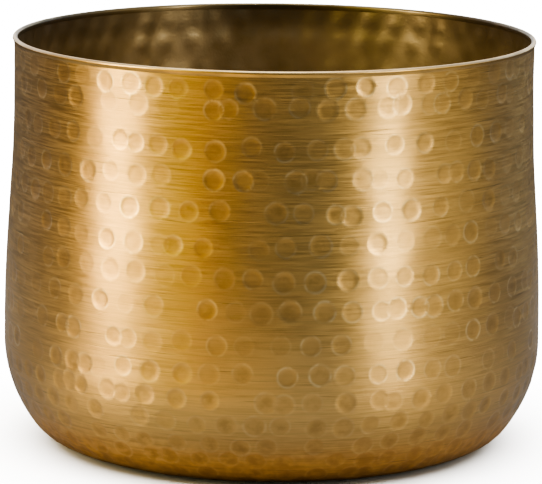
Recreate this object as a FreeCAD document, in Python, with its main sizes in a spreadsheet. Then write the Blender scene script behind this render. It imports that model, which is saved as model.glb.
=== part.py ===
import FreeCAD, Part
import math
import os

import Sketcher
from FreeCAD import Placement, Rotation, Vector

# Hammered brass planter pot. Millimetres, +Z up, on the pot's own axis.
# Z = 0 is the table, touched only by the rubber feet.

SIZES = (
    # alias, size, what it is
    ("neck_radius", 114.9, "outside radius of the straight neck under the rim"),
    ("belly_bulge", 4.7, "how far the belly stands out beyond the neck"),
    ("pot_height", 179.5, "underside of the wall to the top of the rim bead"),
    ("neck_length", 15.2, "straight part of the wall, with the bead"),
    ("belly_height", 44.8, "height of the widest circle above the wall's underside"),
    ("heel_upper_radius", 61.0, "slow upper bend of the heel"),
    ("heel_lower_radius", 20.6, "tight lower bend of the heel"),
    ("wall_thickness", 1.2, "sheet brass of the wall"),
    ("flange_width", 8.0, "flat rim turned in under the pot to carry the base"),
    ("base_lap", 6.5, "how far the base plate lies on that flange"),
    ("base_thickness", 1.5, "sheet brass of the base plate"),
    ("base_edge_round", 0.5, "softened upper edge of the base plate"),
    ("bead_outer_skirt", 0.7, "bead outside the wall, with its clearance"),
    ("bead_inner_skirt", 0.4, "bead inside the wall, with its clearance"),
    ("bead_height", 2.6, "bead from its lower edge to its top"),
    ("bead_round", 0.6, "rounded upper edges of the bead"),
    ("bead_lap", 1.2, "how far the bead's groove goes down over the wall"),
    ("groove_clearance", 0.05, "solder gap on each side of the wall in the groove"),
    ("stand_height", 1.8, "gap between the table and the wall"),
    ("foot_pad_radius", 7.0, "rubber foot at the base plate"),
    ("foot_pad_taper", 0.8, "how much smaller its radius is at the table"),
    ("foot_pad_round", 0.7, "rounded edge at the table"),
    ("foot_pad_gap", 4.0, "between a foot and the flange"),
)
FEET = 4

START, END, CENTRE = 1, 2, 3
AXIS_X, AXIS_Z = -1, -2
UP = Vector(0, 0, 1)

size = {alias: value for alias, value, meaning in SIZES}

# Sizes that follow from the ones above, as the sheet's expressions.
BELLY = "(Sizes.neck_radius + Sizes.belly_bulge)"
WALL_TOP = "(Sizes.pot_height - Sizes.bead_height + Sizes.bead_lap)"
TREAD = (
    f"({BELLY} - Sizes.heel_upper_radius"
    " + sqrt((Sizes.heel_upper_radius - Sizes.heel_lower_radius)^2"
    " - (Sizes.belly_height - Sizes.heel_lower_radius)^2))"
)
FLANGE_EDGE = f"({TREAD} - Sizes.flange_width)"
PAD_HEIGHT = "(Sizes.stand_height + Sizes.wall_thickness)"


def make_sheet(doc):
    sheet = doc.addObject("Spreadsheet::Sheet", "Sizes")
    for row, (alias, value, meaning) in enumerate(SIZES, start=1):
        sheet.set(f"A{row}", meaning)
        sheet.set(f"B{row}", str(value))
        sheet.setAlias(f"B{row}", alias)
    doc.recompute()


def make_body(doc, name):
    body = doc.addObject("PartDesign::Body", name)
    body.Label = name
    return body


def make_sketch(body, role, name):
    sketch = body.newObject("Sketcher::SketchObject", name)
    plane = next(item for item in body.Origin.OriginFeatures if item.Role == role)
    sketch.AttachmentSupport = [(plane, "")]
    sketch.MapMode = "FlatFace"
    return sketch


def line(sketch, start, end):
    return sketch.addGeometry(Part.LineSegment(Vector(*start, 0), Vector(*end, 0)))


def arc(sketch, centre, radius, from_angle, to_angle):
    circle = Part.Circle(Vector(*centre, 0), UP, radius)
    return sketch.addGeometry(Part.ArcOfCircle(circle, from_angle, to_angle))


def polygon(sketch, corners):
    """Straight sides from corner to corner, joined but not closed."""
    sides = [line(sketch, a, b) for a, b in zip(corners, corners[1:])]
    for before, after in zip(sides, sides[1:]):
        tie(sketch, "Coincident", before, END, after, START)
    return sides


def tie(sketch, kind, *places):
    return sketch.addConstraint(Sketcher.Constraint(kind, *places))


def measure(sketch, name, kind, places, expression):
    """A named dimension of the sketch that follows the sheet, set to its value from the start."""
    value = float(sketch.evalExpression(expression))
    number = sketch.addConstraint(Sketcher.Constraint(kind, *places, value))
    sketch.renameConstraint(number, name)
    sketch.setExpression(f"Constraints.{name}", expression)


def revolve(body, sketch, name):
    turned = body.newObject("PartDesign::Revolution", name)
    turned.Profile = sketch
    turned.ReferenceAxis = (sketch, ["V_Axis"])
    turned.Angle = 360
    sketch.Visibility = False
    return turned


def circles_at(shape, height):
    """Names of the round edges that lie level at one height."""
    names = []
    for number, edge in enumerate(shape.Edges, start=1):
        level = abs(edge.BoundBox.ZMin - height) < 0.001 and edge.BoundBox.ZLength < 0.001
        if level and isinstance(edge.Curve, Part.Circle):
            names.append(f"Edge{number}")
    return names


def draw_skin(sketch, depth):
    """One face of the wall from the top edge to the flange, a depth inside the outer face."""
    neck = size["neck_radius"]
    belly = neck + size["belly_bulge"]
    neck_end = size["pot_height"] - size["neck_length"]
    belly_height = size["belly_height"]
    upper = size["heel_upper_radius"]
    lower = size["heel_lower_radius"]
    half_drop = (neck_end - belly_height) / 2
    half_bulge = (belly - neck) / 2
    sweep = (half_drop ** 2 + half_bulge ** 2) / (2 * half_bulge)
    lean = math.asin(half_drop / sweep)
    heel_turn = math.asin((belly_height - lower) / (upper - lower))
    tread = belly - upper + (upper - lower) * math.cos(heel_turn)
    top = size["pot_height"] - size["bead_height"] + size["bead_lap"]

    neck_line = line(sketch, (neck - depth, top), (neck - depth, neck_end))
    flare = arc(sketch, (neck + sweep, neck_end), sweep + depth, math.pi, math.pi + lean)
    bulge = arc(sketch, (belly - sweep, belly_height), sweep - depth, 0, lean)
    heel_upper = arc(sketch, (belly - upper, belly_height), upper - depth, -heel_turn, 0)
    heel_lower = arc(sketch, (tread, lower), lower - depth, -math.pi / 2, -heel_turn)
    flange = line(sketch, (tread, depth), (tread - size["flange_width"], depth))

    tie(sketch, "Tangent", neck_line, END, flare, START)
    tie(sketch, "Tangent", flare, END, bulge, END)
    tie(sketch, "Tangent", bulge, START, heel_upper, END)
    tie(sketch, "Tangent", heel_upper, START, heel_lower, END)
    tie(sketch, "Tangent", heel_lower, START, flange, START)
    tie(sketch, "Vertical", neck_line)
    tie(sketch, "Horizontal", flange)
    return neck_line, flare, bulge, heel_upper, heel_lower, flange


def make_side_wall(doc):
    """Spun sheet: straight neck, gentle bulge, two-arc heel and a flange turned in under it."""
    body = make_body(doc, "side_wall")
    sketch = make_sketch(body, "XZ_Plane", "wall_profile")

    neck_line, flare, bulge, heel_upper, heel_lower, flange = draw_skin(sketch, 0)
    tie(sketch, "Equal", flare, bulge)
    tie(sketch, "Horizontal", bulge, CENTRE, bulge, START)
    tie(sketch, "PointOnObject", flange, START, AXIS_X)
    origin = (AXIS_X, START)
    measure(sketch, "neck_out", "DistanceX", (*origin, neck_line, START), "Sizes.neck_radius")
    measure(sketch, "top", "DistanceY", (*origin, neck_line, START), WALL_TOP)
    measure(
        sketch, "neck_end", "DistanceY", (*origin, neck_line, END),
        "Sizes.pot_height - Sizes.neck_length",
    )
    measure(sketch, "belly_out", "DistanceX", (*origin, bulge, START), BELLY)
    measure(sketch, "belly_up", "DistanceY", (*origin, bulge, START), "Sizes.belly_height")
    measure(sketch, "heel_upper", "Radius", (heel_upper,), "Sizes.heel_upper_radius")
    measure(sketch, "heel_lower", "Radius", (heel_lower,), "Sizes.heel_lower_radius")
    measure(
        sketch, "flange", "DistanceX", (flange, END, flange, START), "Sizes.flange_width"
    )

    outer = (flare, bulge, heel_upper, heel_lower)
    inner_neck, *inner, inner_flange = draw_skin(sketch, size["wall_thickness"])
    for outer_arc, inner_arc in zip(outer, inner):
        tie(sketch, "Coincident", outer_arc, CENTRE, inner_arc, CENTRE)
    measure(
        sketch, "thickness", "DistanceX", (inner_neck, START, neck_line, START),
        "Sizes.wall_thickness",
    )

    geometry = sketch.Geometry
    top_edge = sketch.addGeometry(
        Part.LineSegment(geometry[inner_neck].StartPoint, geometry[neck_line].StartPoint)
    )
    flange_edge = sketch.addGeometry(
        Part.LineSegment(geometry[flange].EndPoint, geometry[inner_flange].EndPoint)
    )
    tie(sketch, "Coincident", top_edge, START, inner_neck, START)
    tie(sketch, "Coincident", top_edge, END, neck_line, START)
    tie(sketch, "Horizontal", top_edge)
    tie(sketch, "Coincident", flange_edge, START, flange, END)
    tie(sketch, "Coincident", flange_edge, END, inner_flange, END)
    tie(sketch, "Vertical", flange_edge)

    revolve(body, sketch, "wall_sheet")
    body.setExpression("Placement.Base.z", "Sizes.stand_height")
    return body


def make_rim_ring(doc):
    """Bead with rounded upper edges and a groove underneath that drops over the wall's top."""
    body = make_body(doc, "rim_ring")
    sketch = make_sketch(body, "XZ_Plane", "bead_profile")

    outside = size["neck_radius"] + size["bead_outer_skirt"]
    inside = size["neck_radius"] - size["wall_thickness"] - size["bead_inner_skirt"]
    groove_out = size["neck_radius"] + size["groove_clearance"]
    groove_in = size["neck_radius"] - size["wall_thickness"] - size["groove_clearance"]
    height = size["bead_height"]
    roof = size["bead_lap"]

    sides = polygon(sketch, [
        (inside, height), (inside, 0), (groove_in, 0), (groove_in, roof), (groove_out, roof),
        (groove_out, 0), (outside, 0), (outside, height), (inside, height),
    ])
    inner_side, inner_foot, groove_wall, groove_roof = sides[:4]
    groove_face, outer_foot, outer_side, top = sides[4:]
    tie(sketch, "Coincident", top, END, inner_side, START)
    for upright in (inner_side, groove_wall, groove_face, outer_side):
        tie(sketch, "Vertical", upright)
    for level in (inner_foot, groove_roof, outer_foot, top):
        tie(sketch, "Horizontal", level)
    tie(sketch, "PointOnObject", inner_foot, START, AXIS_X)
    tie(sketch, "PointOnObject", outer_foot, END, AXIS_X)
    origin = (AXIS_X, START)
    measure(
        sketch, "outside", "DistanceX", (*origin, outer_foot, END),
        "Sizes.neck_radius + Sizes.bead_outer_skirt",
    )
    measure(
        sketch, "inside", "DistanceX", (*origin, inner_foot, START),
        "Sizes.neck_radius - Sizes.wall_thickness - Sizes.bead_inner_skirt",
    )
    measure(
        sketch, "groove_out", "DistanceX", (*origin, groove_face, END),
        "Sizes.neck_radius + Sizes.groove_clearance",
    )
    measure(
        sketch, "groove_width", "DistanceX", (groove_wall, START, groove_face, END),
        "Sizes.wall_thickness + 2 * Sizes.groove_clearance",
    )
    measure(sketch, "groove_depth", "DistanceY", (*origin, groove_roof, START), "Sizes.bead_lap")
    measure(sketch, "height", "DistanceY", (*origin, top, START), "Sizes.bead_height")

    bead = revolve(body, sketch, "bead")
    doc.recompute()
    rounded = body.newObject("PartDesign::Fillet", "bead_edges")
    rounded.Base = (bead, circles_at(bead.Shape, size["bead_height"]))
    rounded.setExpression("Radius", "Sizes.bead_round")
    body.setExpression(
        "Placement.Base.z", "Sizes.stand_height + Sizes.pot_height - Sizes.bead_height"
    )
    return body


def make_base_plate(doc):
    """Flat disc soldered down on the flange from inside the pot."""
    body = make_body(doc, "base_plate")
    sketch = make_sketch(body, "XY_Plane", "plate_outline")
    edge = sketch.addGeometry(Part.Circle(Vector(0, 0, 0), UP, size["neck_radius"] / 2))
    tie(sketch, "Coincident", edge, CENTRE, AXIS_X, START)
    measure(sketch, "edge", "Radius", (edge,), f"{FLANGE_EDGE} + Sizes.base_lap")

    plate = body.newObject("PartDesign::Pad", "plate")
    plate.Profile = sketch
    plate.setExpression("Length", "Sizes.base_thickness")
    sketch.Visibility = False
    doc.recompute()

    softened = body.newObject("PartDesign::Fillet", "plate_edge")
    softened.Base = (plate, circles_at(plate.Shape, size["base_thickness"]))
    softened.setExpression("Radius", "Sizes.base_edge_round")
    body.setExpression("Placement.Base.z", "Sizes.stand_height + Sizes.wall_thickness")
    return body


def make_rubber_foot(doc, number):
    """Tapered rubber pad stuck to the underside of the base plate, taller than the flange."""
    body = make_body(doc, f"rubber_foot_{number}")
    sketch = make_sketch(body, "XZ_Plane", f"pad_profile_{number}")
    height = size["stand_height"] + size["wall_thickness"]
    small = size["foot_pad_radius"] - size["foot_pad_taper"]
    sides = polygon(sketch, [
        (0, height), (0, 0), (small, 0), (size["foot_pad_radius"], height), (0, height),
    ])
    axis, tread, flank, top = sides
    tie(sketch, "Coincident", top, END, axis, START)
    tie(sketch, "Coincident", axis, END, AXIS_X, START)
    tie(sketch, "Vertical", axis)
    tie(sketch, "Horizontal", tread)
    tie(sketch, "Horizontal", top)
    measure(sketch, "height", "DistanceY", (axis, END, axis, START), PAD_HEIGHT)
    measure(
        sketch, "small", "DistanceX", (tread, START, tread, END),
        "Sizes.foot_pad_radius - Sizes.foot_pad_taper",
    )
    measure(sketch, "large", "DistanceX", (top, END, top, START), "Sizes.foot_pad_radius")

    pad = revolve(body, sketch, f"pad_{number}")
    doc.recompute()
    rounded = body.newObject("PartDesign::Fillet", f"pad_edge_{number}")
    rounded.Base = (pad, circles_at(pad.Shape, 0))
    rounded.setExpression("Radius", "Sizes.foot_pad_round")

    turn = 360 * (number - 0.5) / FEET
    body.Placement = Placement(Vector(0, 0, 0), Rotation(UP, turn))
    reach = f"({FLANGE_EDGE} - Sizes.foot_pad_gap - Sizes.foot_pad_radius)"
    body.setExpression("Placement.Base.x", f"{reach} * cos({turn} deg)")
    body.setExpression("Placement.Base.y", f"{reach} * sin({turn} deg)")
    return body


def check_and_save(doc, bodies):
    doc.recompute()
    for item in doc.Objects:
        if {"Invalid", "Error"} & set(item.State):
            raise RuntimeError(f"{item.Label} did not build: {item.State}")
        if item.isDerivedFrom("Sketcher::SketchObject") and not item.FullyConstrained:
            raise RuntimeError(f"{item.Label} is not fully constrained")
    for body in bodies:
        if body.Shape.isNull() or not body.Shape.isValid():
            raise RuntimeError(f"{body.Label} has no valid solid")
        print(f"{body.Label}: {body.Shape.Volume:.1f} mm3")
    for body in bodies:
        body.Shape.exportStep(f"parts/{body.Label}.step")


os.makedirs("parts", exist_ok=True)
document = FreeCAD.newDocument("planter_pot")
make_sheet(document)
pieces = [make_side_wall(document), make_base_plate(document), make_rim_ring(document)]
pieces += [make_rubber_foot(document, number) for number in range(1, FEET + 1)]
check_and_save(document, pieces)
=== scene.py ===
import math

import bpy
import numpy as np
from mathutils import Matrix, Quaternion, Vector
from mathutils.geometry import delaunay_2d_cdt


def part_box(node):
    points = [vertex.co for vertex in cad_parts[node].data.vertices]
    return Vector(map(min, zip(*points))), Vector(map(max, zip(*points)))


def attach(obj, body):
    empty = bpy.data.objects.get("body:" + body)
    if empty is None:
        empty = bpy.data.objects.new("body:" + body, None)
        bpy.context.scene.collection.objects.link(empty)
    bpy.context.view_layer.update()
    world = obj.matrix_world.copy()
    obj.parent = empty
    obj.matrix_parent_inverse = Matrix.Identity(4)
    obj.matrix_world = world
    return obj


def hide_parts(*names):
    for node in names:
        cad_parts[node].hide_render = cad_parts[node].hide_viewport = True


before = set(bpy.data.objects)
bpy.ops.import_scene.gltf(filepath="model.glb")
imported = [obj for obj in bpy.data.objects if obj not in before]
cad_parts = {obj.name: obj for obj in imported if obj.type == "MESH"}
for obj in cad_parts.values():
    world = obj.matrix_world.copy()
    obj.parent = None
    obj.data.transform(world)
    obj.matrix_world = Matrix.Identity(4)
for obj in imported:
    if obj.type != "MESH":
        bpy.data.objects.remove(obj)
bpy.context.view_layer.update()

# The hammered wall's section, in metres, as it is made: a straight neck, a gentle flare into the
# belly, a heel of two bends and a flange turned in under it.
NECK_LENGTH = 0.0152
BELLY_BULGE = 0.0047
BELLY_HEIGHT = 0.0448
HEEL_UPPER_RADIUS = 0.061
HEEL_LOWER_RADIUS = 0.0206
SHEET = 0.0012
FLANGE = 0.008
GROOVE_CLEARANCE = 0.00005
BEAD_INNER_SKIRT = 0.0004

wall_low, wall_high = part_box("side_wall")
bead_low, bead_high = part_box("rim_ring")
floor_low, floor_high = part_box("base_plate")
BELLY_RADIUS = wall_high.x
NECK_RADIUS = BELLY_RADIUS - BELLY_BULGE
UNDERSIDE = wall_low.z
WALL_TOP = wall_high.z
RIM_TOP = bead_high.z
RIM_RADIUS = bead_high.x

SHARP_ANGLE = math.radians(50)

rng = np.random.default_rng(27)


def place(mesh, name):
    """A shaded piece in the scene, where its mesh says it is."""
    mesh.shade_smooth()
    mesh.set_sharp_from_angle(angle=SHARP_ANGLE)
    piece = bpy.data.objects.new(name, mesh)
    bpy.context.scene.collection.objects.link(piece)
    return piece


# ---------------------------------------------------------------- camera

def make_camera():
    """Long lens, a little above the rim, level to within about half a degree."""
    distance = 14 * RIM_RADIUS
    elevation = math.radians(10.69)
    lean = math.radians(0.594)
    middle = Vector((0, 0, (UNDERSIDE + RIM_TOP) / 2))
    back = Vector((0, -math.cos(elevation), math.sin(elevation)))

    lens = bpy.data.cameras.new("camera")
    lens.sensor_width = 36
    lens.lens = 240.5
    lens.clip_start = 0.05
    lens.clip_end = 50
    lens.shift_x = -0.0028
    lens.shift_y = -0.0146
    camera = bpy.data.objects.new("camera", lens)
    camera.location = middle + back * distance
    camera.rotation_mode = "QUATERNION"
    camera.rotation_quaternion = (-back).to_track_quat("-Z", "Y") @ Quaternion((0, 0, 1), lean)
    bpy.context.scene.collection.objects.link(camera)
    bpy.context.scene.camera = camera


# ---------------------------------------------------------------- the wall's section

class Section:
    """The wall's outer face, by the distance along it from the top edge."""

    STEP = 0.00025

    def __init__(self):
        neck_end = RIM_TOP - NECK_LENGTH
        belly = UNDERSIDE + BELLY_HEIGHT
        half_drop = (neck_end - belly) / 2
        sweep = (half_drop ** 2 + (BELLY_BULGE / 2) ** 2) / BELLY_BULGE
        lean = math.asin(half_drop / sweep)
        bend = HEEL_UPPER_RADIUS - HEEL_LOWER_RADIUS
        heel_turn = math.asin((BELLY_HEIGHT - HEEL_LOWER_RADIUS) / bend)
        upper_centre = BELLY_RADIUS - HEEL_UPPER_RADIUS
        tread = upper_centre + bend * math.cos(heel_turn)

        self.parts = []
        self.straight((NECK_RADIUS, WALL_TOP), (NECK_RADIUS, neck_end), 0)
        self.curve((NECK_RADIUS + sweep, neck_end), -sweep, 0, lean)
        self.curve((BELLY_RADIUS - sweep, belly), sweep, lean, 0)
        self.curve((upper_centre, belly), HEEL_UPPER_RADIUS, 0, -heel_turn)
        lower_centre = (tread, UNDERSIDE + HEEL_LOWER_RADIUS)
        self.curve(lower_centre, HEEL_LOWER_RADIUS, -heel_turn, -math.pi / 2)
        self.straight((tread, UNDERSIDE), (tread - FLANGE, UNDERSIDE), -math.pi / 2)

        rows = np.concatenate(self.parts)
        travel = np.hypot(np.diff(rows[:, 0]), np.diff(rows[:, 1]))
        self.along = np.concatenate([[0], np.cumsum(travel)])
        self.radius, self.height, self.tilt = rows.T
        self.length = self.along[-1]

    def straight(self, start, end, tilt):
        """A straight run of the section, with the slope of its outward normal."""
        count = 2 + int(math.dist(start, end) / self.STEP)
        radius = np.linspace(start[0], end[0], count)
        height = np.linspace(start[1], end[1], count)
        self.parts.append(np.stack([radius, height, np.full(count, tilt)], 1))

    def curve(self, centre, radius, start, end):
        """An arc. A negative radius curves the other way, with its centre outside the pot."""
        count = 2 + int(abs(radius * (end - start)) / self.STEP)
        tilt = np.linspace(start, end, count)
        reach = centre[0] + radius * np.cos(tilt)
        height = centre[1] + radius * np.sin(tilt)
        self.parts.append(np.stack([reach, height, tilt], 1))

    def at(self, along):
        """Radius, height and the slope of the outward normal above level."""
        return tuple(
            np.interp(along, self.along, values)
            for values in (self.radius, self.height, self.tilt)
        )

    def points(self, azimuth, along, lift):
        """Points lifted from that face along its normal. Azimuth 0 faces -Y."""
        radius, height, tilt = self.at(along)
        reach = radius + lift * np.cos(tilt)
        return np.stack(
            [reach * np.sin(azimuth), -reach * np.cos(azimuth), height + lift * np.sin(tilt)], 1
        )


# ---------------------------------------------------------------- hammer marks

MARK_RADIUS = 0.0045
MARK_DEPTH = 0.00012
FIRST_ROWS = (0.0063, 0.0148)
WALL_ROWS_START = 0.0310
WALL_ROW_PITCH = 0.0137
WALL_ROWS = 8
HEEL_ROW_PITCH = 0.0112
HEEL_ROW_CLOSING = 0.93
HEEL_ROWS = 6
HEEL_START = WALL_ROWS_START + WALL_ROWS * WALL_ROW_PITCH

# How far apart two blows of a row fall, and the shares of a row that fall close or wide.
CLOSE_GAP = (0.0062, 0.0078)
USUAL_GAP = (0.0106, 0.0156)
WIDE_GAP = (0.0185, 0.0240)
CLOSE_SHARE = 0.12
CLOSE_OR_WIDE_SHARE = 0.20

# How hard the blows fall on the wall, how many fall so hard, and how hard they fall on the heel.
BLOWS = (0.35, 0.7, 1.0, 1.5)
BLOW_SHARES = (0.2, 0.25, 0.35, 0.2)
HEEL_BLOWS = (1.0, 2.2)

# How far a row sways and a blow strays from it, how the marks' sizes differ, and the room that
# is left where a row closes.
ROW_SWAY = (0.0003, 0.0009)
BLOW_STRAY = 0.0005
MARK_SIZES = (0.9, 1.06)
CLOSING_GAP = 0.008

# A mark's shape, in shares of its radius and depth.
FLOOR_EDGE = 0.80
RIDGE_END = 1.20
RIDGE_HEIGHT = 0.08
BOWL_ROUNDING = 0.3

# How a mark's finish fades, in mark radii: where the brush starts to miss its floor and over what
# width, how wide its tarnish spreads and how wide the highlight painted round its edge is.
BRUSH_MISSES = 0.94
BRUSH_FADE = 0.1
TARNISH_FADE = 0.6
HIGHLIGHT_RING_FADE = 0.15

# The bumps inside: how far they spread, in mark radii, how high they stand at least, what each
# gains from its mark's depth, and how they die away towards the heel.
INSIDE_REACH = 1.35
INSIDE_LIFT = 0.00022
INSIDE_SHARE = 1.6
INSIDE_FADE = 0.05
INSIDE_LEAST = 0.06

SWELLS = 26


def row_places():
    """How far each row of marks lies from the wall's top edge."""
    rows = list(FIRST_ROWS)
    rows += [WALL_ROWS_START + count * WALL_ROW_PITCH for count in range(WALL_ROWS)]
    step = HEEL_ROW_PITCH
    for _ in range(HEEL_ROWS):
        rows.append(rows[-1] + step)
        step *= HEEL_ROW_CLOSING
    return rows


def lay_marks(face):
    """Rows of blows round the wall. Each has its azimuth, distance along, radius and depth,
    how strongly a highlight is painted round its edge and how far its floor has tarnished."""
    marks = []
    for number, row in enumerate(row_places()):
        on_heel = number >= len(FIRST_ROWS) + WALL_ROWS
        girth = 2 * math.pi * face.at(row)[0]
        sway, phase = rng.uniform(*ROW_SWAY), rng.uniform(0, 2 * math.pi)
        travelled = rng.uniform(0, 0.01)
        finish = travelled + girth - CLOSING_GAP
        while travelled < finish:
            azimuth = 2 * math.pi * travelled / girth - math.pi
            along = row + sway * math.sin(3 * azimuth + phase) + rng.normal(0, BLOW_STRAY)
            radius = MARK_RADIUS * rng.uniform(*MARK_SIZES)
            strength = rng.choice(BLOWS, p=BLOW_SHARES)
            ring_glint, tarnish = rng.uniform(0.2, 1.0), rng.uniform(0.1, 1.0)
            if on_heel:
                strength = rng.uniform(*HEEL_BLOWS)
                ring_glint, tarnish = 0.3 * ring_glint, 0.4 + 0.7 * tarnish
            marks.append((azimuth, along, radius, MARK_DEPTH * strength, ring_glint, tarnish))
            kind = rng.random()
            if kind < CLOSE_SHARE:
                travelled += rng.uniform(*CLOSE_GAP)
            elif kind < CLOSE_OR_WIDE_SHARE:
                travelled += rng.uniform(*WIDE_GAP)
            else:
                travelled += rng.uniform(*USUAL_GAP)
    return np.array(marks)


def near(face, mark, azimuth, along, reach):
    """Points within reach of a mark, and their distance from it in mark radii."""
    middle, row, radius = mark[:3]
    girth_radius = face.at(row)[0]
    turn = (azimuth - middle + math.pi) % (2 * math.pi) - math.pi
    across = turn * girth_radius
    limit = reach * radius
    chosen = np.flatnonzero((np.abs(along - row) < limit) & (np.abs(across) < limit))
    return chosen, np.hypot(across[chosen], along[chosen] - row) / radius


def struck_outside(face, marks, azimuth, along):
    """Lift of the outer face, and how far each point is a mark's floor, its edge, where a
    highlight is painted, or its tarnished middle.

    A mark is a shallow dish with a steep side and a low ridge round it. The deeper of two
    overlapping marks wins."""
    dish = np.full(len(azimuth), np.inf)
    ridge = np.zeros(len(azimuth))
    floor = np.zeros(len(azimuth))
    edge = np.zeros(len(azimuth))
    dark = np.zeros(len(azimuth))
    for mark in marks:
        chosen, away = near(face, mark, azimuth, along, RIDGE_END)
        depth, ring_glint, tarnish = mark[3:]
        crest = RIDGE_HEIGHT * depth
        bowl = -depth * (1 - BOWL_ROUNDING * (away / FLOOR_EDGE) ** 2)
        climb = np.clip((away - FLOOR_EDGE) / (1 - FLOOR_EDGE), 0, 1)
        side = -(1 - BOWL_ROUNDING) * depth * (1 - climb) + crest * climb
        inner = np.where(away < FLOOR_EDGE, bowl, side)
        outer = crest * np.clip((RIDGE_END - away) / (RIDGE_END - 1), 0, 1)
        struck = away < 1
        dish[chosen[struck]] = np.minimum(dish[chosen], inner)[struck]
        ridge[chosen] = np.maximum(ridge[chosen], outer)
        strength = min(1.0, depth / MARK_DEPTH)
        level = strength * np.clip((BRUSH_MISSES - away) / BRUSH_FADE, 0, 1)
        floor[chosen] = np.maximum(floor[chosen], level)
        smudge = strength * tarnish * np.clip((1 - away) / TARNISH_FADE, 0, 1)
        dark[chosen] = np.maximum(dark[chosen], smudge)
        ring = np.clip(1 - np.abs(away - 1) / HIGHLIGHT_RING_FADE, 0, 1)
        edge[chosen] = np.maximum(edge[chosen], strength * ring_glint * ring)
    return np.where(np.isfinite(dish), dish, ridge), floor, edge, dark


def uneven(azimuth, along):
    """Slow swells that hand work leaves in the sheet, the same on both faces."""
    lift = np.zeros(len(azimuth))
    for _ in range(SWELLS):
        turns = rng.integers(4, 34)
        pitch = rng.uniform(0.018, 0.060)
        phase = rng.uniform(0, 2 * math.pi)
        slope = rng.uniform(0.001, 0.0035)
        steepness = math.hypot(turns / NECK_RADIUS, 2 * math.pi / pitch)
        hand = rng.choice((-1, 1))
        wave = np.cos(turns * azimuth + hand * 2 * math.pi * along / pitch + phase)
        lift += slope / steepness * wave
    return lift


def struck_inside(face, marks, azimuth, along):
    """Soft bumps that the same blows raise inside. They die away down in the thicker heel."""
    lift = np.zeros(len(azimuth))
    for mark in marks:
        chosen, away = near(face, mark, azimuth, along, INSIDE_REACH)
        bump = np.clip(1 - (away / INSIDE_REACH) ** 2, 0, 1) ** 2
        height = INSIDE_LIFT + INSIDE_SHARE * mark[3]
        height *= np.clip((HEEL_START - mark[1]) / INSIDE_FADE, INSIDE_LEAST, 1)
        lift[chosen] = np.maximum(lift[chosen], height * bump)
    return lift


# ---------------------------------------------------------------- the wall's mesh

SIDES = 400

# Rings of points on a mark: each ring's share of the mark's radius, and its number of points.
MARK_RINGS = ((0.0, 1), (0.48, 8), (FLOOR_EDGE, 18), (1.0, 18), (RIDGE_END, 18))

# Points on the open ground: how far apart, how close the rows, how far each strays, and how far
# they keep from a mark's middle, in mark radii.
OPEN_SPACING = 0.0024
OPEN_ROW_SHARE = 0.87
OPEN_STRAY = 0.15
OPEN_CLEARANCE = 1.4

SEAM_SPACING = 0.0018
EDGE_MARGIN = 0.0009
NET_SCALE = 1000
INSIDE_ROW = 0.0026

# The slow swells ease out towards the wall's top edge and towards the end of its flange.
TOP_EASE = 0.006
FLANGE_EASE = 0.012


def mark_points(face, marks):
    """Rings of points that follow each mark, so that its edge comes out crisp."""
    found = []
    for azimuth, along, radius in marks[:, :3]:
        girth_radius = float(face.at(along)[0])
        start = rng.uniform(0, 1)
        for number, (share, count) in enumerate(MARK_RINGS):
            turn = 2 * math.pi * (np.arange(count) + start + number / 2) / count
            across = azimuth + share * radius * np.cos(turn) / girth_radius
            across = (across + math.pi) % (2 * math.pi) - math.pi
            found.append(np.stack([across, along + share * radius * np.sin(turn)], 1))
    return np.concatenate(found)


def open_points(face, marks):
    """Loosely even points over the ground between the marks."""
    reach = math.pi * NECK_RADIUS
    across = np.arange(-reach, reach, OPEN_SPACING)
    down = np.arange(0.001, face.length - 0.001, OPEN_SPACING * OPEN_ROW_SHARE)
    grid = np.stack(np.meshgrid(across, down), -1)
    grid[1::2, :, 0] += OPEN_SPACING / 2
    grid = grid.reshape(-1, 2)
    grid += rng.uniform(-OPEN_STRAY, OPEN_STRAY, grid.shape) * OPEN_SPACING
    grid[:, 0] /= NECK_RADIUS
    clear = np.ones(len(grid), bool)
    for mark in marks:
        chosen, away = near(face, mark, grid[:, 0], grid[:, 1], OPEN_CLEARANCE)
        clear[chosen[away < OPEN_CLEARANCE]] = False
    return grid[clear]


def outer_net(face, marks):
    """Triangles over the outer face, unrolled: azimuth and distance along, and the faces."""
    sides = np.linspace(-math.pi, math.pi, SIDES + 1)
    seam = np.linspace(0, face.length, 1 + int(face.length / SEAM_SPACING))[1:-1]
    border = [(side, along) for along in (0, face.length) for side in sides]
    border += [(side, along) for side in (-math.pi, math.pi) for along in seam]
    loose = np.concatenate([mark_points(face, marks), open_points(face, marks)])
    within = np.abs(loose[:, 0]) * NECK_RADIUS < math.pi * NECK_RADIUS - EDGE_MARGIN
    within &= (loose[:, 1] > EDGE_MARGIN) & (loose[:, 1] < face.length - EDGE_MARGIN)
    flat = np.concatenate([np.array(border), loose[within]])
    scale = np.array([NECK_RADIUS, 1.0]) * NET_SCALE
    spots = [Vector(point) for point in (flat * scale).tolist()]
    net = delaunay_2d_cdt(spots, [], [], 0, 1e-4, False)
    flat = np.array([tuple(point) for point in net[0]]) / scale
    return flat[:, 0], flat[:, 1], np.array(net[2])


def inner_grid(face):
    """An even grid over the inner face: the sides' azimuths, and each row's distance along."""
    sides = np.linspace(-math.pi, math.pi, SIDES + 1)
    rows = 1 + int(face.length / INSIDE_ROW)
    return sides, np.linspace(0, face.length, rows)


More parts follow.
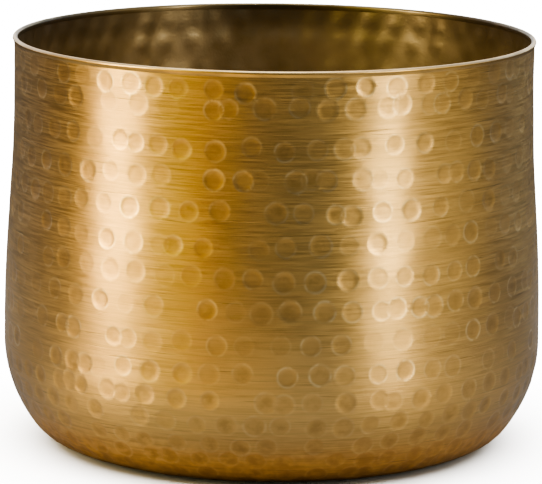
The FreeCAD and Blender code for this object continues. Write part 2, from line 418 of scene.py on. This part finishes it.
def inner_faces(sides, rows, first):
    """The inner grid's faces, and each face's corners unrolled. first is its first point."""
    column = np.arange(SIDES)
    after = (column + 1) % SIDES
    left, right = sides[:-1], sides[1:]
    quads, corners = [], []
    for row in range(len(rows) - 1):
        upper = first + row * SIDES
        lower = upper + SIDES
        quads.append(np.stack([upper + column, upper + after, lower + after, lower + column], 1))
        above, below = np.full(SIDES, rows[row]), np.full(SIDES, rows[row + 1])
        corners.append(np.stack([
            np.stack([left, above], 1),
            np.stack([right, above], 1),
            np.stack([right, below], 1),
            np.stack([left, below], 1),
        ], 1))
    return np.concatenate(quads), np.concatenate(corners)


def seam_and_ends(face, azimuth, along):
    """Which point stands for each point where the net closes, and its top and foot in order."""
    count = len(azimuth)
    last = np.flatnonzero(azimuth > math.pi - 1e-5)
    first = np.flatnonzero(azimuth < -math.pi + 1e-5)
    joined = np.arange(count)
    joined[last[np.argsort(along[last])]] = first[np.argsort(along[first])]
    kept = joined == np.arange(count)
    top = np.flatnonzero((along < 1e-7) & kept)
    foot = np.flatnonzero((along > face.length - 1e-7) & kept)
    return joined, top[np.argsort(azimuth[top])], foot[np.argsort(azimuth[foot])]


def unroll(mesh, face, outer_corners, inner_corners):
    """The map that the finishes are baked on: outside above, inside below."""
    closing_corners = np.zeros((4 * 2 * SIDES, 2))
    spread = np.concatenate([outer_corners, inner_corners, closing_corners])
    u = (spread[:, 0] + math.pi) / (2 * math.pi)
    v = 0.5 * (1 - spread[:, 1] / face.length)
    v[: len(outer_corners)] += 0.5
    layer = mesh.uv_layers.new(name="OFBake")
    layer.data.foreach_set("uv", np.stack([u, v], 1).ravel())


def make_wall(face, marks):
    """Both faces of the hammered sheet, closed over its top edge and its flange."""
    azimuth, along, faces = outer_net(face, marks)
    lift, floor, edge, dark = struck_outside(face, marks, azimuth, along)
    count = len(azimuth)
    joined, top, foot = seam_and_ends(face, azimuth, along)

    sides, rows = inner_grid(face)
    inner_azimuth, inner_along = (values.ravel() for values in np.meshgrid(sides[:-1], rows))
    bumps = struck_inside(face, marks, inner_azimuth, inner_along)
    all_along = np.concatenate([along, inner_along])
    swells = uneven(np.concatenate([azimuth, inner_azimuth]), all_along)
    ends = np.clip(all_along / TOP_EASE, 0, 1)
    ends *= np.clip((face.length - all_along) / FLANGE_EASE, 0, 1)
    swells *= ends
    outer = face.points(azimuth, along, lift + swells[:count])
    inner = face.points(inner_azimuth, inner_along, -SHEET - bumps + swells[count:])

    column = np.arange(SIDES)
    after = (column + 1) % SIDES
    quads, corners = inner_faces(sides, rows, count)
    inner_top, inner_foot = count + column, count + (len(rows) - 1) * SIDES + column
    lip = np.stack([top[column], top[after], inner_top[after], inner_top[column]], 1)
    hem = np.stack([foot[after], foot[column], inner_foot[column], inner_foot[after]], 1)
    triangles = joined[faces][:, ::-1]
    polygons = triangles.tolist() + quads.tolist() + lip.tolist() + hem.tolist()
    mesh = bpy.data.meshes.new("hammered_wall")
    mesh.from_pydata(np.concatenate([outer, inner]).tolist(), [], polygons)

    plain = np.zeros(len(inner))
    for name, outside, inside in (
        ("along", along, inner_along),
        ("floor", floor, plain),
        # edge carries the highlight painted in a ring round each mark.
        ("edge", edge, plain),
        ("dark", dark, plain),
    ):
        values = np.concatenate([outside, inside])
        mesh.attributes.new(name, "FLOAT", "POINT").data.foreach_set("value", values)

    outer_corners = np.stack([azimuth, along], 1)[faces][:, ::-1].reshape(-1, 2)
    unroll(mesh, face, outer_corners, corners.reshape(-1, 2))

    slots = np.ones(len(polygons), np.int32)
    slots[: len(triangles)] = 0
    mesh.polygons.foreach_set("material_index", slots)
    mesh.validate()
    return place(mesh, "hammered_wall")


# ---------------------------------------------------------------- rim, floor

RIM_SIDES = 720
RIM_WOBBLE = 2.5e-5
RIM_SINK = 6e-5
FLOOR_SIDES = 256
FLOOR_RINGS = 90
FLOOR_HOLLOW = 0.00025
RING_PITCH = 0.0042
RING_DEPTH = 0.00005


def turn_mesh(name, section, sides, wobble=None):
    """Turns a closed section of (radius, height) points about the pot's axis."""
    section = np.array(section)
    azimuth = np.linspace(0, 2 * math.pi, sides, endpoint=False)
    radius = np.repeat(section[None, :, 0], sides, 0)
    height = np.repeat(section[None, :, 1], sides, 0)
    if wobble is not None:
        out, up = wobble(azimuth)
        radius, height = radius + out[:, None], height + up[:, None]
    points = np.stack([
        radius * np.sin(azimuth)[:, None], -radius * np.cos(azimuth)[:, None], height
    ], -1).reshape(-1, 3)
    count = len(section)
    side, step = np.meshgrid(np.arange(sides), np.arange(count), indexing="ij")
    ahead, nearby = (side + 1) % sides, (step + 1) % count
    faces = np.stack([
        side * count + step, ahead * count + step, ahead * count + nearby, side * count + nearby
    ], -1).reshape(-1, 4)
    mesh = bpy.data.meshes.new(name)
    mesh.from_pydata(points.tolist(), [], faces.tolist())
    return place(mesh, name)


def hand_wobble(azimuth, turns):
    """Slow waves round the rim, as a hand leaves them. turns are the waves in a full turn."""
    return sum(
        rng.uniform(0, RIM_WOBBLE) * np.cos(count * azimuth + rng.uniform(0, 6)) for count in turns
    )


def rim_wobble(azimuth):
    """How far the rim strays outwards and upwards. It sinks a little, to stay under its top."""
    out = hand_wobble(azimuth, (3, 5, 8, 13))
    up = hand_wobble(azimuth, (2, 5, 9, 14))
    return out, up - RIM_SINK


def make_rim():
    """Round-topped bead with the groove that holds the wall's edge. Its outer side runs down into
    the neck."""
    inside = NECK_RADIUS - SHEET - BEAD_INNER_SKIRT
    groove_in = NECK_RADIUS - SHEET - GROOVE_CLEARANCE
    groove_out = NECK_RADIUS + GROOVE_CLEARANCE
    foot = bead_low.z
    crown = (RIM_RADIUS - inside) / 2
    middle = inside + crown
    shoulder = RIM_TOP - crown
    section = [(groove_out, foot), (groove_out, WALL_TOP), (groove_in, WALL_TOP)]
    section += [(groove_in, foot), (inside, foot)]
    for angle in np.linspace(math.pi, 0, 15):
        section.append((middle + crown * math.cos(angle), shoulder + crown * math.sin(angle)))
    section += [(NECK_RADIUS + 0.00025, foot + 0.0003), (NECK_RADIUS + 0.00012, foot)]
    return turn_mesh("rim_bead", section[::-1], RIM_SIDES, rim_wobble)


def make_floor_plate():
    """Spun disc: faint turning rings, a shallow dish and a softened edge."""
    reach = floor_high.x
    rings = np.linspace(0.0004, reach - 0.0006, FLOOR_RINGS)
    top = floor_high.z - FLOOR_HOLLOW * (1 - (rings / reach) ** 2) ** 2
    top -= RING_DEPTH * (1 - np.cos(2 * math.pi * rings / RING_PITCH)) / 2
    section = list(zip(rings, top))
    section += [(reach - 0.0002, floor_high.z - 0.0002), (reach, floor_high.z - 0.0006)]
    section += [(reach, floor_low.z), (0.0004, floor_low.z)]
    return turn_mesh("pot_floor", section[::-1], FLOOR_SIDES)


# ---------------------------------------------------------------- shading

class Value:
    """A shader socket that takes part in Python sums. Each sum adds a Math node."""

    def __init__(self, surface, socket):
        self.surface = surface
        self.socket = socket

    def sum_of(self, operation, first, second):
        inputs = {0: first, 1: second}
        return self.surface.node("ShaderNodeMath", {"operation": operation}, inputs)

    def __add__(self, other):
        return self.sum_of("ADD", self, other)

    def __radd__(self, other):
        return self.sum_of("ADD", other, self)

    def __sub__(self, other):
        return self.sum_of("SUBTRACT", self, other)

    def __rsub__(self, other):
        return self.sum_of("SUBTRACT", other, self)

    def __mul__(self, other):
        return self.sum_of("MULTIPLY", self, other)

    def __rmul__(self, other):
        return self.sum_of("MULTIPLY", other, self)


class Surface:
    """A node tree that is filled in Python."""

    def __init__(self, owner):
        owner.use_nodes = True
        self.tree = owner.node_tree
        self.tree.nodes.clear()

    def node(self, kind, settings=None, inputs=None, output=0):
        """A node of one kind, its settings first and then its sockets' values or links."""
        made = self.tree.nodes.new(kind)
        for name, value in (settings or {}).items():
            if name == "stops":
                self.set_stops(made.color_ramp, value)
            else:
                setattr(made, name, value)
        for name, value in (inputs or {}).items():
            if isinstance(value, Value):
                self.tree.links.new(value.socket, made.inputs[name])
            else:
                made.inputs[name].default_value = value
        return Value(self, made.outputs[output]) if made.outputs else None

    def set_stops(self, ramp, stops):
        """Smooth stops, each a position and a colour."""
        ramp.interpolation = "B_SPLINE"
        while len(ramp.elements) < len(stops):
            ramp.elements.new(0.5)
        for element, (position, colour) in zip(ramp.elements, stops):
            element.position = position
            element.color = (*colour, 1)

    def attribute(self, name):
        return self.node("ShaderNodeAttribute", {"attribute_name": name}, output="Fac")

    def vector(self, x, y, z):
        return self.node("ShaderNodeCombineXYZ", inputs={0: x, 1: y, 2: z})

    def axes(self, kind):
        """The x, y and z of a place on the piece, or of a direction in the room."""
        where = self.node("ShaderNodeTexCoord", output=kind)
        split = self.node("ShaderNodeSeparateXYZ", inputs={0: where})
        return [Value(self, socket) for socket in split.socket.node.outputs]

    def from_axis(self, x, y):
        """Distance from the pot's axis."""
        flat = {0: self.vector(x, y, 0.0)}
        return self.node("ShaderNodeVectorMath", {"operation": "LENGTH"}, flat, "Value")

    def noise(self, vector, detail):
        inputs = {"Vector": vector, "Scale": 1.0, "Detail": detail}
        return self.node("ShaderNodeTexNoise", inputs=inputs)

    def rise(self, value, low, high, start=0.0, end=1.0):
        """Smoothly from start to end as the value goes from low to high."""
        return self.node(
            "ShaderNodeMapRange",
            {"interpolation_type": "SMOOTHSTEP"},
            {"Value": value, "From Min": low, "From Max": high, "To Min": start, "To Max": end},
        )

    def mix(self, factor, first, second):
        inputs = {0: factor, 6: first, 7: second}
        return self.node("ShaderNodeMix", {"data_type": "RGBA"}, inputs, output=2)

    def bump(self, height, distance):
        return self.node("ShaderNodeBump", inputs={"Height": height, "Distance": distance})


def finished(name, paint):
    """A material of that name. paint adds its nodes and gives back its shader."""
    material = bpy.data.materials.new(name)
    surface = Surface(material)
    shader = paint(surface, *surface.axes("Object"))
    surface.node("ShaderNodeOutputMaterial", inputs={"Surface": shader})
    return material


# The wall's brass, from bare to aged, browner towards the bottom, and a highlight painted round
# the marks' edges.
DULL_GOLD = (0.66, 0.405, 0.15, 1)
CLEAR_GOLD = (0.80, 0.50, 0.18, 1)
BROWN_STREAK = (0.50, 0.32, 0.11, 1)
BRUSHED_GOLD = (0.86, 0.58, 0.22, 1)
SCRATCH_BROWN = (0.16, 0.10, 0.04, 1)
TARNISH = (0.38, 0.225, 0.07, 1)
HEEL_BROWN = (0.44, 0.245, 0.095, 1)
PAINTED_HIGHLIGHT_RING = (0.93, 0.68, 0.32, 1)

# The inside, browned by the lacquer, with shade painted darkest under the rim.
LACQUER_BROWN = (0.44, 0.34, 0.19, 1)
LACQUER_PALE = (0.56, 0.44, 0.27, 1)
PAINTED_SHADE_UNDER_RIM = (0.19, 0.14, 0.078, 1)

# The rim: the bead's outer side, its crown with a painted highlight and its inner half in painted
# shade, each fresh and worn.
RIM_SIDE = (0.72, 0.44, 0.14, 1)
RIM_SIDE_WORN = (0.50, 0.32, 0.12, 1)
RIM_CROWN_PAINTED_HIGHLIGHT = (0.80, 0.60, 0.33, 1)
RIM_CROWN_PAINTED_HIGHLIGHT_WORN = (0.64, 0.46, 0.24, 1)
RIM_INNER_PAINTED_SHADE = (0.20, 0.15, 0.08, 1)
RIM_INNER_PAINTED_SHADE_WORN = (0.13, 0.10, 0.055, 1)

SPUN_DARK = (0.26, 0.17, 0.06, 1)
SPUN_PALE = (0.44, 0.30, 0.12, 1)
RUBBER_BLACK = (0.018, 0.018, 0.018, 1)
RUBBER_GREY = (0.045, 0.044, 0.042, 1)


def wall_brass(surface, x, y, z):
    """Brushed, aged brass. The brush runs round the pot and skips the floors of the marks."""
    along = surface.attribute("along")
    floor = surface.attribute("floor")
    # A highlight painted in a ring round each mark's edge, broken up by noise.
    ring_breakup = surface.noise(surface.vector(x * 230, y * 230, z * 230), 1.0)
    edge = surface.attribute("edge") * surface.rise(ring_breakup, 0.36, 0.60, 0.25, 1.6)
    stain = surface.noise(surface.vector(x * 190, y * 190, z * 260), 3.0)
    dark = surface.attribute("dark") * surface.rise(stain, 0.34, 0.66, 0.35, 1.5)

    fine = surface.noise(surface.vector(x * 60, y * 60, along * 2300), 2.0)
    broad = surface.noise(surface.vector(x * 36, y * 36, along * 820), 3.0)
    cloud = surface.noise(surface.vector(x * 9, y * 9, along * 12), 3.0)
    scratches = surface.noise(surface.vector(x * 34 + 7, y * 34, along * 1150), 1.0)
    scratch = surface.rise(scratches, 0.66, 0.76)
    open_ground = 1 - floor * 0.68

    gold = surface.mix(surface.rise(cloud, 0.38, 0.64), DULL_GOLD, CLEAR_GOLD)
    streaks = surface.rise(broad, 0.42, 0.62, 0.0, 0.38) * open_ground
    streaked = surface.mix(streaks, gold, BROWN_STREAK)
    strokes = surface.rise(fine, 0.35, 0.7, 0.0, 0.4) * open_ground
    brushed = surface.mix(strokes, streaked, BRUSHED_GOLD)
    scored = surface.mix(scratch * open_ground * 0.34, brushed, SCRATCH_BROWN)
    aged = surface.mix(dark * 0.34, scored, TARNISH)
    # Darker brown towards the bottom of the heel, in blotches.
    low = surface.rise(z, 0.034, 0.006) * surface.rise(stain, 0.30, 0.62)
    aged = surface.mix(low * 0.45, aged, HEEL_BROWN)
    # The ring of painted highlight round each mark's edge.
    colour = surface.mix(edge * 0.55, aged, PAINTED_HIGHLIGHT_RING)

    rough = surface.rise(fine, 0.3, 0.7, 0.305, 0.42) + floor * 0.02 - edge * 0.015
    relief = (fine * 0.6 + broad * 0.4 - scratch * 0.8) * open_ground
    return surface.node("ShaderNodeBsdfPrincipled", inputs={
        "Base Color": colour,
        "Metallic": 1.0,
        "Roughness": rough,
        "Anisotropic": 0.6,
        "Anisotropic Rotation": 0.25,
        "Coat Weight": 0.25,
        "Coat Roughness": 0.18,
        "Normal": surface.bump(relief, 0.00003),
    })


def inside_brass(surface, x, y, z):
    """The unbrushed inside, browned by the lacquer and by age."""
    cloud = surface.noise(surface.vector(x * 40, y * 40, z * 40), 4.0)
    grain = surface.noise(surface.vector(x * 900, y * 900, z * 900), 2.0)
    lacquer = surface.mix(surface.rise(cloud, 0.35, 0.65), LACQUER_BROWN, LACQUER_PALE)
    # Shade painted darkest just under the rim.
    colour = surface.mix(surface.rise(z, 0.162, 0.178, 0.0, 0.85), lacquer, PAINTED_SHADE_UNDER_RIM)
    return surface.node("ShaderNodeBsdfPrincipled", inputs={
        "Base Color": colour,
        "Metallic": 0.85,
        "Roughness": surface.rise(cloud, 0.3, 0.7, 0.31, 0.37),
        "Normal": surface.bump(grain, 0.00004),
    })


def rim_brass(surface, x, y, z):
    """The rim's brass, with a highlight painted along the outer crown and shade painted inside it,
    both varied by wear.
    """
    reach = surface.from_axis(x, y)
    wear = surface.noise(surface.vector(x * 60, y * 60, z * 300), 3.0)
    # crown picks the bead's top, where a highlight is painted; outer picks its outer half, and
    # shade is painted on the inner half.
    crown = surface.rise(z, RIM_TOP - 0.0011, RIM_TOP - 0.0006)
    outer = surface.rise(reach + wear * 0.0004, RIM_RADIUS - 0.0014, RIM_RADIUS - 0.0008)
    side = surface.mix(surface.rise(wear, 0.35, 0.7), RIM_SIDE, RIM_SIDE_WORN)
    painted_highlight = surface.mix(surface.rise(wear, 0.4, 0.7), RIM_CROWN_PAINTED_HIGHLIGHT, RIM_CROWN_PAINTED_HIGHLIGHT_WORN)
    # Painted shade on the bead's inner half.
    dark = surface.mix(surface.rise(wear, 0.4, 0.7), RIM_INNER_PAINTED_SHADE, RIM_INNER_PAINTED_SHADE_WORN)
    return surface.node("ShaderNodeBsdfPrincipled", inputs={
        "Base Color": surface.mix(outer, dark, surface.mix(crown, side, painted_highlight)),
        "Metallic": 1.0,
        "Roughness": surface.rise(wear, 0.3, 0.7, 0.28, 0.40),
        "Coat Weight": 0.4,
        "Coat Roughness": 0.2,
        "Normal": surface.bump(wear, 0.00003),
    })


def floor_brass(surface, x, y, z):
    """Dull spun sheet with turning marks."""
    rings = surface.noise(surface.vector(surface.from_axis(x, y) * 1400, x * 8, y * 8), 2.0)
    cloud = surface.noise(surface.vector(x * 30, y * 30, z * 30), 4.0)
    return surface.node("ShaderNodeBsdfPrincipled", inputs={
        "Base Color": surface.mix(surface.rise(cloud, 0.35, 0.65), SPUN_DARK, SPUN_PALE),
        "Metallic": 1.0,
        "Roughness": surface.rise(rings, 0.3, 0.7, 0.38, 0.55),
        "Normal": surface.bump(rings, 0.00004),
    })


def foot_rubber(surface, x, y, z):
    """Matt black rubber with a fine moulded grain."""
    grain = surface.noise(surface.vector(x * 1500, y * 1500, z * 1500), 3.0)
    return surface.node("ShaderNodeBsdfPrincipled", inputs={
        "Base Color": surface.mix(grain, RUBBER_BLACK, RUBBER_GREY),
        "Roughness": surface.rise(grain, 0.3, 0.7, 0.6, 0.85),
        "Normal": surface.bump(grain, 0.00008),
    })


# ---------------------------------------------------------------- studio

WINDOW_HEIGHT = 1.5
WINDOW_MIDDLE = 0.42
OVERHEAD_WIDTH = 1.6
OVERHEAD_HEIGHT = 1.7
WHITE = (24.0, 24.0, 24.0, 1)
ROOM_ABOVE = (0.36, 0.35, 0.33, 1)
FLOOR_REACH = 6.0
FLOOR_SUN = 15.7
PALE_FLOOR = (0.9, 0.9, 0.9, 1)

# The duller table that the pot mirrors in place of the pale floor: far off, near the pot, close
# under its heel, where light is painted, and behind it.
TABLE_FAR = (0.016, 0.0155, 0.015, 1)
TABLE_NEAR = (0.080, 0.085, 0.098, 1)
TABLE_PAINTED_LIGHT_UNDER_HEEL = (0.15, 0.12, 0.088, 1)
TABLE_BEHIND = (0.016, 0.016, 0.016, 1)


def area_lamp(name, width, height, radiance, colour):
    """A flat lamp that looks equally bright whatever its size."""
    lamp = bpy.data.lights.new(name, "AREA")
    lamp.shape = "RECTANGLE"
    lamp.size, lamp.size_y = width, height
    lamp.energy = radiance * math.pi * width * height
    lamp.color = colour
    stand = bpy.data.objects.new(name, lamp)
    bpy.context.scene.collection.objects.link(stand)
    return stand


def soft_window(name, azimuth, distance, width, radiance, colour):
    """A tall flat lamp that faces the pot. Azimuth 0 is on the camera's side, positive to its
    right."""
    stand = area_lamp(name, width, WINDOW_HEIGHT, radiance, colour)
    turn = math.radians(azimuth)
    stand.location = (distance * math.sin(turn), -distance * math.cos(turn), WINDOW_MIDDLE)
    aim = Vector((0, 0, WINDOW_MIDDLE)) - stand.location
    stand.rotation_mode = "QUATERNION"
    stand.rotation_quaternion = aim.to_track_quat("-Z", "Y")


# What the pot mirrors from each side: share of the way round from the back, through the left,
# the front at 0.5 and the right, and the light that comes from there.
SURROUNDINGS = (
    (0.00, (1.36, 1.46, 1.75)),
    (0.06, (1.05, 1.12, 1.36)),
    (0.12, (0.82, 0.88, 1.16)),
    (0.19, (0.52, 0.46, 0.44)),
    (0.25, (0.20, 0.15, 0.08)),
    (0.31, (1.10, 0.72, 0.24)),
    (0.35, (9.00, 4.40, 0.34)),
    (0.39, (1.30, 0.72, 0.06)),
    (0.43, (0.05, 0.065, 0.085)),
    (0.48, (0.065, 0.095, 0.135)),
    (0.55, (0.05, 0.09, 0.145)),
    (0.61, (0.09, 0.125, 0.165)),
    (0.70, (1.20, 1.14, 0.90)),
    (0.77, (0.46, 0.46, 0.44)),
    (0.83, (0.31, 0.38, 0.58)),
    (0.90, (0.93, 1.16, 2.00)),
    (1.00, (1.36, 1.46, 1.75)),
)

# Pools of light painted on the table: each one's middle, the reach at which it has faded out, the
# reach within which it is full, and its colour.
TABLE_PAINTED_LIGHT_PATCHES = (
    ((-0.28, -0.44, 0), 0.28, 0.10, (0.21, 0.165, 0.10, 1)),
    ((-0.09, -0.36, 0), 0.22, 0.05, (0.14, 0.12, 0.085, 1)),
    ((-0.20, -0.12, 0), 0.12, 0.03, (0.13, 0.12, 0.105, 1)),
    ((0.17, -0.18, 0), 0.12, 0.03, (0.13, 0.125, 0.11, 1)),
)


def make_world():
    """Blank white behind the pot; what the pot mirrors is a dim room with paler sides."""
    world = bpy.data.worlds.new("studio")
    bpy.context.scene.world = world
    surface = Surface(world)
    x, y, z = surface.axes("Generated")
    bearing = surface.node("ShaderNodeMath", {"operation": "ARCTAN2"}, {0: x, 1: 0 - y})
    share = bearing * (0.5 / math.pi) + 0.5
    room = surface.node("ShaderNodeValToRGB", {"stops": SURROUNDINGS}, {0: share})
    room = surface.mix(surface.rise(z, 0.45, 0.95), room, ROOM_ABOVE)
    seen = surface.node("ShaderNodeLightPath", output="Is Camera Ray")
    light = surface.mix(seen, room, WHITE)
    sky = surface.node("ShaderNodeBackground", inputs={"Color": light, "Strength": 1.0})
    surface.node("ShaderNodeOutputWorld", inputs={"Surface": sky})


def table_paint(surface, x, y, z):
    """The pale floor, and the table that the pot mirrors in its place."""
    seen = surface.node("ShaderNodeLightPath", output="Is Camera Ray")
    reach = surface.from_axis(x, y)
    table = surface.mix(surface.rise(reach, 0.80, 0.28), TABLE_FAR, TABLE_NEAR)
    # Pools of light painted on the mirrored table.
    for middle, faded, full, colour in TABLE_PAINTED_LIGHT_PATCHES:
        ends = {0: surface.vector(x, y, 0.0), 1: middle}
        away = surface.node("ShaderNodeVectorMath", {"operation": "DISTANCE"}, ends, "Value")
        table = surface.mix(surface.rise(away, faded, full, 0.0, 0.85), table, colour)
    # Light painted on the table close under the heel.
    table = surface.mix(surface.rise(reach, 0.132, 0.108, 0.0, 0.9), table, TABLE_PAINTED_LIGHT_UNDER_HEEL)
    table = surface.mix(surface.rise(y, -0.12, 0.12, 0.0, 0.6), table, TABLE_BEHIND)
    paint = surface.mix(seen, table, PALE_FLOOR)
    return surface.node("ShaderNodeBsdfDiffuse", inputs={"Color": paint})


def make_stage():
    """A wide pale floor with its own soft sun, which lights nothing else."""
    mesh = bpy.data.meshes.new("studio_floor")
    edge = [
        (FLOOR_REACH * math.cos(turn), FLOOR_REACH * math.sin(turn), 0)
        for turn in np.linspace(0, 2 * math.pi, 96, endpoint=False)
    ]
    mesh.from_pydata(edge, [], [range(len(edge))])
    mesh.materials.append(finished("studio_floor", table_paint))
    ground = place(mesh, "studio_floor")

    lit = bpy.data.collections.new("floor_only")
    lit.objects.link(ground)
    sun = bpy.data.lights.new("floor_sun", "SUN")
    sun.energy = FLOOR_SUN
    sun.angle = math.radians(100)
    stand = bpy.data.objects.new("floor_sun", sun)
    bpy.context.scene.collection.objects.link(stand)
    stand.light_linking.receiver_collection = lit


# ---------------------------------------------------------------- assembly

make_camera()
outer_face = Section()
blows = lay_marks(outer_face)

wall = make_wall(outer_face, blows)
wall.data.materials.append(finished("wall_brass", wall_brass))
wall.data.materials.append(finished("inside_brass", inside_brass))
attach(wall, "root")
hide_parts("side_wall")

rim = make_rim()
rim.data.materials.append(finished("rim_brass", rim_brass))
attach(rim, "root")
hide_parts("rim_ring")

plate = make_floor_plate()
plate.data.materials.append(finished("spun_floor_brass", floor_brass))
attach(plate, "root")
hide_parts("base_plate")

rubber = finished("foot_rubber", foot_rubber)
for name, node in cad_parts.items():
    if name.startswith("rubber_foot"):
        node.material_slots[0].material = rubber

make_world()
make_stage()
soft_window("left_window", -67.8, 1.3, 0.40, 7.4, (1.0, 0.87, 0.66))
soft_window("right_window", 48.8, 1.5, 0.32, 6.2, (1.0, 0.96, 0.83))
overhead = area_lamp("overhead", OVERHEAD_WIDTH, OVERHEAD_WIDTH, 1.6, (1, 1, 1))
overhead.location = (0, 0, OVERHEAD_HEIGHT)
bpy.context.scene.view_settings.view_transform = "AgX"
bpy.context.scene.view_settings.look = "AgX - High Contrast"
